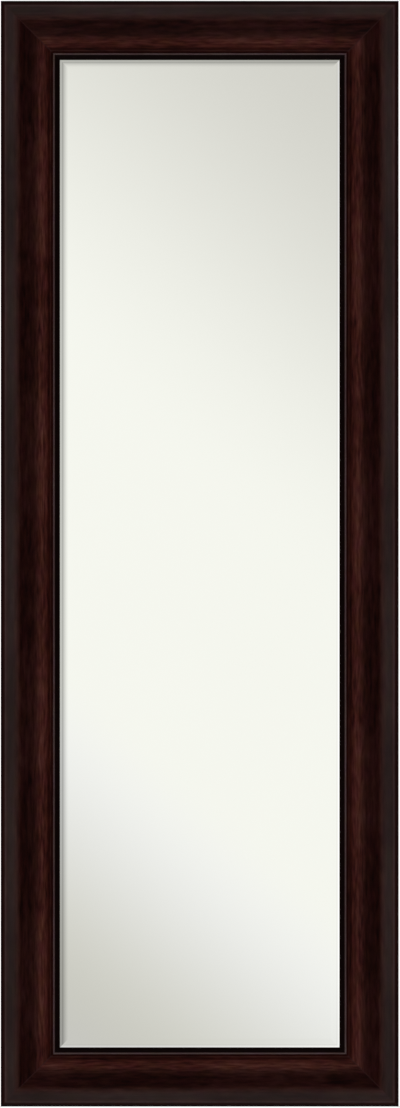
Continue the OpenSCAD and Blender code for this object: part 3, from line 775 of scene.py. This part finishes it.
def reflected_card(wide, tall):
    """White, greyer at the left, the top and two soft corners of a card of that size, so the glass shows the
    even tone and the grey falls of the photograph."""
    white, dimmest, matt = 0.981, 0.2, 0.5
    half_w, half_h = GLASS_HIGH.x, (GLASS_HIGH.z - GLASS_LOW.z) / 2
    material, tree, surface = shader("reflected card")
    tree.nodes.remove(surface)
    spot = split(tree, object_place(tree))
    across, up = spot["X"], maths(tree, "SUBTRACT", spot["Z"], CENTRE.z)
    # what the flat of the glass shows, carried straight on past it for the bevel
    inner_x, inner_z = [maths(tree, "MAXIMUM", maths(tree, "MINIMUM", way, half), -half)
                        for way, half in ((across, half_w), (up, half_h))]
    # how far a place lies towards the top right corner, and towards the bottom left one
    top = maths(tree, "MULTIPLY_ADD", inner_x, 0.82, inner_z)
    foot = maths(tree, "MULTIPLY_ADD", inner_x, -0.83, maths(tree, "MULTIPLY", inner_z, -1.0))
    # the upper fall is a little warmer than the white, and the lower one is cooler where it sets in: for
    # red, green and blue, the upper one's depth, and the lower one's beginning, end and depth
    tints = []
    for down, low, high, fall in ((0.292, 0.281, 0.752, 0.372), (0.303, 0.281, 0.752, 0.380),
                                  (0.311, 0.335, 0.715, 0.380)):
        tint = maths(tree, "SUBTRACT", white, mapped(tree, top, 0.086, 0.78, 0.0, down, smooth=True))
        tints.append(maths(tree, "SUBTRACT", tint, mapped(tree, foot, low, high, 0.0, fall, smooth=True)))
    tone = tints[1]
    colour = rgb(tree, maths(tree, "DIVIDE", tints[0], tone), 1.0, maths(tree, "DIVIDE", tints[2], tone))
    # what the slopes of the bevel show: shade from the left and the top, light from the right and the foot,
    # where lit rises to 1
    reach, brightest = 1.2, 1.2
    sideways = ((-0.72, 0.45), (-0.685, 0.48), (-0.665, 0.63), (-0.615, 0.61), (-0.57, 0.495),
                (-0.47, 0.72), (-0.42, 0.775), (-0.34, 0.89), (-0.21, 1.01), (0.60, 1.0),
                (0.62, 1.15), (0.68, 1.15), (0.70, 0.89))
    upright = ((-1.15, 0.87), (-1.12, 0.87), (-1.10, 1.18), (-1.04, 1.18), (-1.01, 1.0), (0.72, 1.0),
               (0.79, 0.95), (0.856, 0.872), (0.913, 0.812), (0.98, 0.665), (1.02, 0.595),
               (1.06, 0.64), (1.10, 0.64), (1.13, 0.52))
    lit = 0.0
    for way, falls in ((across, sideways), (up, upright)):
        stops = [((place + reach) / (2 * reach), value / brightest) for place, value in falls]
        factor = ramp(tree, mapped(tree, way, -reach, reach), stops)
        factor = maths(tree, "MULTIPLY", factor, brightest)
        tone = maths(tree, "MULTIPLY", tone, factor)
        lit = maths(tree, "MAXIMUM", mapped(tree, factor, 1.02, 1.14), lit)
    # the light slopes are a purer white
    colour = mixed(tree, lit, colour, rgb(tree, 1.013, 1.0, 1.045))
    # the card's own rim fades into the white round it
    rim = 0.0
    for way, start, end in ((across, 0.75, wide / 2), (up, 1.18, tall / 2)):
        rim = maths(tree, "MAXIMUM", mapped(tree, maths(tree, "ABSOLUTE", way), start, end), rim)
    tone = maths(tree, "MULTIPLY_ADD", maths(tree, "SUBTRACT", 1.0, tone), rim, tone)
    # all this is for the mirror's clean reflection, and a matt gloss sees an even grey
    ways = tree.nodes.new("ShaderNodeLightPath").outputs
    tone = maths(tree, "SUBTRACT", maths(tree, "MAXIMUM", tone, dimmest), matt)
    tone = maths(tree, "MULTIPLY_ADD", tone, ways["Is Singular Ray"], matt)
    glow = put(tree, "ShaderNodeEmission", Color=colour, Strength=tone)
    fill(tree, tree.nodes["Material Output"], Surface=glow.outputs[0])
    return material


# ---------------------------------------------------------------------------------------------
# Operators


class DOORMIRROR_OT_moulding(bpy.types.Operator):
    """Makes the four mitred lengths of moulding"""

    bl_idname = "door_mirror.moulding"
    bl_label = "Moulding"

    def execute(self, context):
        scene = context.scene
        m, finish = scene.mirror_moulding, scene.mirror_finish
        materials = [stained_moulding(m, finish), bare_moulding(finish)]
        for turn, (name, (degrees, pale_at)) in enumerate(RAILS.items()):
            length, half = (FRAME_H, FRAME_W / 2) if degrees in (0, 180) else (FRAME_W, FRAME_H / 2)
            bm = self.mitred(m, length, turn * APART * finish.stretch - pale_at)
            moved(bm, Matrix.Translation(CENTRE) @ turned(degrees, "Y")
                  @ Matrix.Translation((-half, BACK_Y, 0)) @ turned(180, "X"))
            cutters = self.holes(scene.mirror_hanger, name)
            for face in [f for cutter in cutters for f in cutter.faces]:
                face.material_index = BARE
            piece(name + "_dressed", cut(bm, cutters), materials, "mirror", "dark_stained_wood", name,
                  flat=BARE)
        return {"FINISHED"}

    def mitred(self, m, length, offset):
        """One length, its outer edge on x = 0, with its maps of distances along, across and to the joint."""
        bm = extruded(moulding_section(m), length + 2 * m.coat)
        for end in (1, -1):
            everything = bm.verts[:] + bm.edges[:] + bm.faces[:]
            rim = bmesh.ops.bisect_plane(bm, geom=everything, plane_co=(0, 0, end * length / 2),
                                         plane_no=(1, 0, end), clear_outer=True)["geom_cut"]
            rim = [e for e in rim if isinstance(e, bmesh.types.BMEdge)]
            bmesh.ops.edgeloop_fill(bm, edges=rim)
            # the joint is eased where the finish shows, and left sharp at the back
            front = [e for e in rim if min(v.co.y for v in e.verts) > m.rabbet_depth + m.lip / 2]
            bevelled(bm, front, m.mitre_ease, 1, clamp=True)
        bmesh.ops.recalc_face_normals(bm, faces=bm.faces[:])
        round_low = RAIL_D - m.band_step - m.outer_radius - m.coat
        uv = bm.loops.layers.uv.new("along_across")
        joint = bm.loops.layers.uv.new("to_joint")
        for face in bm.faces:
            normal, middle = face.normal, face.calc_center_median()
            in_rabbet = (middle.x > RAIL_W - m.rabbet_width - 10 * NEAR
                         and middle.y < m.rabbet_depth + 10 * NEAR)
            # a mitre's normal is as long in x as in z, which makes 1.41 together
            on_mitre = normal.x + abs(normal.z) > 1.2 and abs(normal.y) < 0.1
            bare = normal.y < -0.5 or in_rabbet or middle.y < m.back_chamfer or on_mitre
            face.material_index = BARE if bare else STAIN
            for loop in face.loops:
                x, y, z = loop.vert.co
                down = min(y - round_low, 0) if not bare and x < NEAR else 0
                loop[uv].uv = (z + offset, x + down)
                loop[joint].uv = (length / 2 - x, z)
        return bm

    def holes(self, h, name):
        """What is cut into the back of a length."""
        cutters = [merged_copy("corner_nails"), merged_copy("retainer_points")]
        if "stile" in name:
            x = HANGER_X * SIDES[name.split("_")[0]]
            cutters += [moved(insert_shape(h, 0, PROUD), to_door(x, BACK_Y, z)) for z in SCREW_ZS]
            wide, deep = h.pin_diameter / 2, PIN_LOW.y - BACK_Y
            pin = lathe([(0, PROUD), (wide, PROUD), (wide, deep), (0, deep)])
            cutters.append(moved(pin, to_door(x, BACK_Y, BUMPER_Z)))
        return cutters


class DOORMIRROR_OT_glass(bpy.types.Operator):
    """Makes the silvered glass with its narrow bevel"""

    bl_idname = "door_mirror.glass"
    bl_label = "Mirror glass"

    def execute(self, context):
        g = context.scene.mirror_glass
        rings = [(g.bevel_width, g.bevel_angle), (g.crease_width, g.crease_angle)]
        rings += [(g.blend_width / g.blend_steps, g.blend_angle * (1 - (i + 0.5) / g.blend_steps))
                  for i in range(g.blend_steps)]
        fall = sum(width * math.tan(angle) for width, angle in rings)
        size, middle = GLASS_HIGH - GLASS_LOW, (GLASS_LOW + GLASS_HIGH) / 2
        bm = moved(block(size - Vector((0, fall, 0))),
                   Matrix.Translation(middle + Vector((0, fall / 2, 0))))
        bm.normal_update()
        front = next(f for f in bm.faces if f.normal.y < -0.9)
        for face in bm.faces:
            face.material_index = 0 if face == front else 1
        for edge in bm.edges:
            edge.smooth = False
        for i, (width, angle) in enumerate(rings):
            bmesh.ops.inset_region(bm, faces=[front], thickness=width, depth=0.0, use_even_offset=True)
            bmesh.ops.translate(bm, verts=front.verts[:], vec=(0, -width * math.tan(angle), 0))
            # both sides of the crease are sharp, and the blend is smooth
            for edge in front.edges:
                edge.smooth = i > 1
        for edge in bm.edges:
            wide, _, tall = run(edge)
            if min(wide, tall) > NEAR:
                edge.smooth = False
        materials = [silvered_glass(context.scene.mirror_finish), plain("ground glass edge")]
        piece("mirror_glass_dressed", bm, materials, "mirror", "silvered_glass", "mirror_glass", sharp=None)
        return {"FINISHED"}


class DOORMIRROR_OT_back(bpy.types.Operator):
    """Finishes the card, the board, the points and the corner nails"""

    bl_idname = "door_mirror.back"
    bl_label = "Back"

    def execute(self, context):
        steel = plain("zinc plated steel")
        dress("filler_card", plain("filler card"))
        dress("backing_board", hardboard(context.scene.mirror_finish))
        dress("retainer_points", steel)
        dress("corner_nails", steel)
        return {"FINISHED"}


class DOORMIRROR_OT_clamps(bpy.types.Operator):
    """Makes the clamp screws, their washers and inserts"""

    bl_idname = "door_mirror.clamps"
    bl_label = "Clamps"

    def execute(self, context):
        h = context.scene.mirror_hanger
        steel = plain("zinc plated steel")
        places = [(side * HANGER_X, z) for side in SIDES.values() for z in SCREW_ZS]
        screws = at_each(lambda: self.screw(h), places, WASHER_HIGH.y)
        piece("clamp_screws_dressed", screws, [steel, plain("shaded recess")], "mirror", "bright_steel",
              "clamp_screws")
        washers = at_each(self.washer, places, WASHER_LOW.y)
        piece("clamp_washers_dressed", washers, [steel], "mirror", "bright_steel", "clamp_washers")
        bore = h.screw_diameter / 2 + CLEAR
        inserts = at_each(lambda: insert_shape(h, bore, 0), places, BACK_Y)
        piece("clamp_inserts_dressed", inserts, [plain("brass")], "mirror", "brass", "clamp_inserts")
        return {"FINISHED"}

    def screw(self, h):
        """A low domed head on a thin rim, with a hex socket, and its shank."""
        head_r, head_h, shank_r = h.head_diameter / 2, SCREW_HIGH.y - WASHER_HIGH.y, h.screw_diameter / 2
        dome_h, ease, tip = head_h * 0.82, 0.0001, 0.0006
        dome_r = (head_r**2 + dome_h**2) / (2 * dome_h)
        top = math.degrees(math.asin(head_r / dome_r))
        dome = arc((0, head_h - dome_r), dome_r, 90, 90 - top, 8)[1:]
        profile = [(0, head_h)] + dome + [
            (head_r, ease), (head_r - ease, 0), (shank_r, 0), (shank_r, -h.screw_length + tip),
            (shank_r - tip, -h.screw_length), (0, -h.screw_length)]
        corner = h.socket_width / math.sqrt(3)
        socket = bmesh.new()
        bmesh.ops.create_cone(socket, cap_ends=True, segments=6, depth=2 * h.socket_depth,
                              radius1=corner, radius2=corner)
        for face in socket.faces:
            face.material_index = RECESS
        return cut(lathe(profile), [moved(socket, Matrix.Translation((0, 0, head_h)))])

    def washer(self):
        """A flat ring with eased edges."""
        inner, outer, ease, thick = 0.0028, WASHER_D / 2, 0.00012, WASHER_HIGH.y - WASHER_LOW.y
        return lathe([(inner, ease), (inner + ease, 0), (outer - ease, 0), (outer, ease),
                      (outer, thick - ease), (outer - ease, thick), (inner + ease, thick),
                      (inner, thick - ease)])


class DOORMIRROR_OT_bumpers(bpy.types.Operator):
    """Makes the rubber bumpers and their screws"""

    bl_idname = "door_mirror.bumpers"
    bl_label = "Bumpers"

    def execute(self, context):
        h = context.scene.mirror_hanger
        black, steel = plain("black rubber"), plain("zinc plated steel")
        for name, side in SIDES.items():
            piece(name + "_bumper_dressed",
                  moved(self.bumper(h), to_door(side * HANGER_X, BACK_Y, BUMPER_Z)), [black], "mirror",
                  "rubber", name + "_bumper")
        places = [(side * HANGER_X, BUMPER_Z) for side in SIDES.values()]
        piece("bumper_screws_dressed", at_each(lambda: self.screw(h), places, BACK_Y),
              [steel, plain("shaded recess")], "mirror", "bright_steel", "bumper_screws")
        return {"FINISHED"}

    def bumper(self, h):
        """Turned rubber, its face at the door, with a sunk seat for the screw."""
        base, face, tall = (BUMPER_HIGH.x - BUMPER_LOW.x) / 2, h.bumper_face / 2, -BACK_Y
        hole, seat, nose, ease = h.pin_diameter / 2 + CLEAR, h.seat_diameter / 2, 0.0009, 0.0003
        return lathe([(hole, 0), (base - ease, 0), (base, ease)]
                     + arc((face - nose, tall - nose), nose, 8, 90, 5)
                     + [(seat + ease, tall), (seat, tall - ease), (seat, tall / 2), (hole, tall / 2)])

    def screw(self, h):
        """A cross-slotted pan head on the seat, and its shank in the wood."""
        seat, top, head_r = -BACK_Y / 2, PIN_HIGH.y - BACK_Y, (PIN_HIGH.z - PIN_LOW.z) / 2
        shank, low, point = h.pin_diameter / 2, PIN_LOW.y - BACK_Y, 0.004
        pan, pan_drop, slot_w, slot_d = 0.0018, 0.0015, 0.0007, 0.6 * (top - seat)
        screw = lathe([(0, top)] + arc((head_r - pan, top - pan_drop), pan, 80, 0, 6)
                      + [(head_r, seat), (shank, seat), (shank, low + point), (0, low)])
        for turn in (0, 90):
            slot = block((head_r, slot_w, 2 * slot_d))
            for face in slot.faces:
                face.material_index = RECESS
            screw = cut(screw, [moved(slot, Matrix.Translation((0, 0, top)) @ turned(turn, "Z"))])
        return screw


class DOORMIRROR_OT_straps(bpy.types.Operator):
    """Makes the two slotted hanger straps"""

    bl_idname = "door_mirror.straps"
    bl_label = "Hanger straps"

    def execute(self, context):
        h = context.scene.mirror_hanger
        coats = [plain("black powder coat"), plain("worn powder coat")]
        for name, side in SIDES.items():
            strap = piece(name + "_hanger_strap_dressed", self.strap(h, side * HANGER_X), coats,
                          name + "_hanger", "black_painted_steel", name + "_hanger_strap")
            # the eased edges take the worn coat, which is paler as a painted highlight too
            ease = strap.modifiers.new("eased edges", "BEVEL")
            ease.width, ease.segments, ease.limit_method = h.edge_ease, 2, "ANGLE"
            ease.angle_limit, ease.material = math.radians(40), WORN_AND_HIGHLIT
        return {"FINISHED"}

    def strap(self, h, x):
        """Shank, bridge and tail bent from one strip, then slotted."""
        steel, foot, tip = DOOR_PAD_LOW.y - STRAP_LOW.y, STRAP_LOW.z, -h.tail_length
        shank_y, tail_y, bridge_z = DOOR_PAD_LOW.y, REAR_PAD_HIGH.y, TOP_PAD_HIGH.z
        bend = h.bend_radius
        first, second = (shank_y + bend, bridge_z - bend), (tail_y - bend, bridge_z - bend)
        outline = ([(shank_y, foot)] + arc(first, bend, 180, 90, 10) + arc(second, bend, 90, 0, 10)
                   + [(tail_y, tip), (tail_y + steel, tip)] + arc(second, bend + steel, 0, 90, 10)
                   + arc(first, bend + steel, 90, 180, 10) + [(shank_y - steel, foot)])
        bm = extruded(outline, STRAP_HIGH.x - STRAP_LOW.x)
        # the outline's x is Y and its y is Z; its length runs along X
        moved(bm, Matrix.Translation((x, 0, 0)) @ Matrix(((0, 0, 1, 0), (1, 0, 0, 0), (0, 1, 0, 0),
                                                         (0, 0, 0, 1))))
        # two corners at the shank's foot and two at the tail's tip, where the strip is cut square
        corners = [e for e in bm.edges if run(e)[0] < NEAR and run(e)[2] < NEAR
                   and min(abs(e.verts[0].co.z - foot), abs(e.verts[0].co.z - tip)) < NEAR]
        bevelled(bm, corners, h.corner_radius, 8)
        bmesh.ops.recalc_face_normals(bm, faces=bm.faces[:])
        return cut(bm, [self.slot(h, x, shank_y, steel)])

    def slot(self, h, x, shank_y, steel):
        """A round-ended cutter from the upper screw to the lowest place of the lower one."""
        top, low, half = SCREW_ZS[0], SCREW_ZS[1] - TRAVEL, h.slot_width / 2
        outline = arc((0, top), half, 0, 180, 16) + arc((0, low), half, 180, 360, 16)
        return moved(extruded(outline, 4 * steel), Matrix.Translation((x, shank_y, 0)) @ turned(90, "X"))


class DOORMIRROR_OT_pads(bpy.types.Operator):
    """Makes the felt pads of both hangers"""

    bl_idname = "door_mirror.pads"
    bl_label = "Felt pads"

    def execute(self, context):
        cloth = felt()
        radius = context.scene.mirror_hanger.pad_radius
        for side in SIDES:
            for place in ("top", "door", "rear"):
                node = f"{side}_{place}_pad"
                pad = piece(node + "_dressed", self.pad(*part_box(node), radius), [cloth],
                            side + "_hanger", "felt", node, sharp=60)
        return {"FINISHED"}

    def pad(self, low, high, radius):
        """A cut piece of felt with round corners and a softened rim."""
        size, middle, soft = high - low, (low + high) / 2, 0.22
        thin = min(range(3), key=lambda k: size[k])
        bm = block(size)
        bevelled(bm, [e for e in bm.edges if run(e)[thin] > size[thin] / 2], radius, 6)
        rim = [e for e in bm.edges if run(e)[thin] < NEAR and e.calc_face_angle(0) > 1]
        bevelled(bm, rim, size[thin] * soft, 3)
        return moved(bm, Matrix.Translation(middle))


class DOORMIRROR_OT_stage(bpy.types.Operator):
    """Sets the floor, the light, the card that the mirror shows, and the camera"""

    bl_idname = "door_mirror.stage"
    bl_label = "Stage"

    def execute(self, context):
        scene = context.scene
        scene.view_settings.view_transform = "Standard"
        self.world(scene)
        self.floor()
        self.card()
        for window in WINDOWS:
            self.lamp(*window)
        self.camera(scene)
        return {"FINISHED"}

    def world(self, scene):
        """White behind the object and in the mirror, but dimmer in a soft gloss, mostly aside and low."""
        scene.world = scene.world or bpy.data.worlds.new("studio")
        scene.world.use_nodes = True
        tree = scene.world.node_tree
        tree.nodes.clear()
        ways = tree.nodes.new("ShaderNodeLightPath").outputs
        way = split(tree, put(tree, "ShaderNodeTexCoord").outputs["Generated"])
        gloss = ramp(tree, mapped(tree, way["Y"], -1.0, 1.0), [(0.0, 0.5), (0.5, 0.35), (0.85, 0.8)])
        gloss = shaded(tree, gloss, mapped(tree, way["Z"], -0.7, 0.9, 0.45, 1.25))
        even, shine, shown = [put(tree, "ShaderNodeBackground", Color=colour, Strength=strength).outputs[0]
                              for colour, strength in ((WHITE, 0.5), (gloss, 1.0), (WHITE, 1.0))]
        light = blended(tree, ways["Is Glossy Ray"], even, shine)
        put(tree, "ShaderNodeOutputWorld", Surface=blended(tree, seen(tree, ways), light, shown))

    def floor(self):
        """A pale floor at the door's foot that fades into the white."""
        door_height, near, far, reach = 2.03, 1.5, 5.6, 7.0
        bm = bmesh.new()
        bmesh.ops.create_circle(bm, cap_ends=True, segments=96, radius=reach)
        moved(bm, Matrix.Translation((0, 0, -door_height)))
        material, tree, surface = shader("pale floor")
        fill(tree, surface, Base_Color=(0.86, 0.86, 0.86, 1), Roughness=0.9, Specular_IOR_Level=0.1)
        ways = tree.nodes.new("ShaderNodeLightPath").outputs
        flat = put(tree, "ShaderNodeVectorMath", operation="MULTIPLY", _0=object_place(tree), _1=(1, 1, 0))
        away = put(tree, "ShaderNodeVectorMath", operation="LENGTH", _0=flat.outputs[0]).outputs["Value"]
        fade = mapped(tree, away, near, far, 0.55, 1.0, smooth=True)
        glow = put(tree, "ShaderNodeEmission", Color=WHITE, Strength=1.0).outputs[0]
        floor = blended(tree, maths(tree, "MULTIPLY", seen(tree, ways), fade), surface.outputs[0], glow)
        # from below, the floor isn't there
        under = tree.nodes.new("ShaderNodeNewGeometry").outputs["Backfacing"]
        clear = tree.nodes.new("ShaderNodeBsdfTransparent").outputs[0]
        fill(tree, tree.nodes["Material Output"], Surface=blended(tree, under, floor, clear))
        self.stage_piece("floor", bm, material)

    def card(self):
        """The card that stands before the mirror, seen by glossy rays alone."""
        away, wide, tall = 3.0, 1.8, 2.7
        bm = bmesh.new()
        bmesh.ops.create_grid(bm, x_segments=1, y_segments=1, size=0.5)
        moved(bm, Matrix.Translation((CENTRE.x, -away, CENTRE.z)) @ turned(-90, "X")
              @ Matrix.Diagonal((wide, tall, 1, 1)))
        card = self.stage_piece("card", bm, reflected_card(wide, tall))
        card.visible_camera = card.visible_diffuse = card.visible_shadow = False
        card.visible_transmission = False

    def stage_piece(self, name, bm, material):
        obj = linked(name, mesh_from(name, bm))
        obj.data.materials.append(material)
        return obj

    def lamp(self, name, place, size, watts):
        """A soft window that lights the object and isn't mirrored in it."""
        light = bpy.data.lights.new(name, "AREA")
        light.shape, light.size, light.size_y, light.energy = "RECTANGLE", size[0], size[1], watts
        lamp = linked(name, light)
        lamp.location = CENTRE + Vector(place)
        lamp.rotation_euler = (-Vector(place)).to_track_quat("-Z", "Y").to_euler()
        lamp.visible_glossy = False

    def camera(self, scene):
        """Square on and without perspective, framed as the photograph is."""
        pixel = FRAME_H / (FRAME_BOTTOM_PX - FRAME_TOP_PX)
        right = PHOTO_W / 2 - (FRAME_LEFT_PX + FRAME_RIGHT_PX) / 2
        down = PHOTO_H / 2 - (FRAME_TOP_PX + FRAME_BOTTOM_PX) / 2
        away, farthest = 4.5, 50
        data = bpy.data.cameras.new("camera")
        data.type, data.ortho_scale, data.clip_end = "ORTHO", PHOTO_H * pixel, farthest
        camera = linked("camera", data)
        camera.location = (CENTRE.x + right * pixel, -away, CENTRE.z - down * pixel)
        camera.rotation_euler = (math.radians(90), 0, 0)
        scene.camera = camera


class DOORMIRROR_PT_panel(bpy.types.Panel):
    """Lists the pieces in the order they are made"""

    bl_idname = "DOORMIRROR_PT_panel"
    bl_label = "Over the Door Mirror"
    bl_space_type = "VIEW_3D"
    bl_region_type = "UI"
    bl_category = "Door Mirror"

    def draw(self, context):
        for maker in MAKERS:
            self.layout.operator(maker.bl_idname)


SETTINGS = {"mirror_moulding": MouldingSettings, "mirror_glass": GlassSettings,
            "mirror_hanger": HangerSettings, "mirror_finish": FinishSettings}
MAKERS = (DOORMIRROR_OT_moulding, DOORMIRROR_OT_glass, DOORMIRROR_OT_back, DOORMIRROR_OT_clamps,
          DOORMIRROR_OT_bumpers, DOORMIRROR_OT_straps, DOORMIRROR_OT_pads, DOORMIRROR_OT_stage)


def register():
    for cls in (*SETTINGS.values(), *MAKERS, DOORMIRROR_PT_panel):
        bpy.utils.register_class(cls)
    for name, settings in SETTINGS.items():
        setattr(bpy.types.Scene, name, PointerProperty(type=settings))


def unregister():
    for name in SETTINGS:
        delattr(bpy.types.Scene, name)
    for cls in (DOORMIRROR_PT_panel, *reversed(MAKERS), *SETTINGS.values()):
        bpy.utils.unregister_class(cls)


def main():
    register()
    bpy.ops.door_mirror.moulding()
    bpy.ops.door_mirror.glass()
    bpy.ops.door_mirror.back()
    bpy.ops.door_mirror.clamps()
    bpy.ops.door_mirror.bumpers()
    bpy.ops.door_mirror.straps()
    bpy.ops.door_mirror.pads()
    bpy.ops.door_mirror.stage()


if __name__ == "__main__":
    main()
